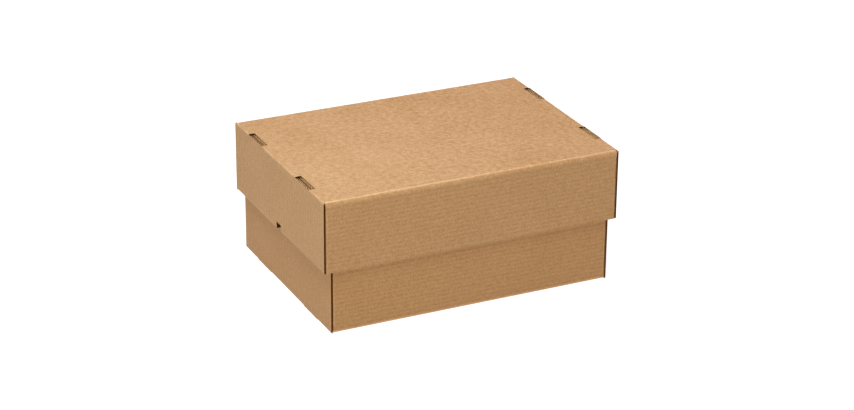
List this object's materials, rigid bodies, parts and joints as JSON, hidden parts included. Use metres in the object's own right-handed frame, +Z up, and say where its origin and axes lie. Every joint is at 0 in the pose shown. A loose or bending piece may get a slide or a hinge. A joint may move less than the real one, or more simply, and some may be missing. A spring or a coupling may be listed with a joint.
{
  "type": "closed cardboard box",
  "caption": "Closed corrugated kraft box: a folded tray under a deep lift-off lid, each with rolled-over end walls held by tabs in slots, for storing or shipping goods.",
  "frame": {"origin": "on the ground, in the middle of the footprint", "axes": "+X along the box's long sides, +Y across it towards the back side wall, +Z up"},
  "size_m": [0.4604, 0.3282, 0.2018],
  "materials": {
    "kraft_board": "matte brown kraft liner with faint ribs where the flutes show through"
  },
  "bodies": {
    "base": {"base_tray": "kraft_board"},
    "lid": {"lid": "kraft_board"}
  },
  "joints": [
    {"name": "lid_lift", "type": "slide", "parent": "base", "child": "lid", "axis": [0, 0, 1], "range_m": [0, 0.25]}
  ]
}
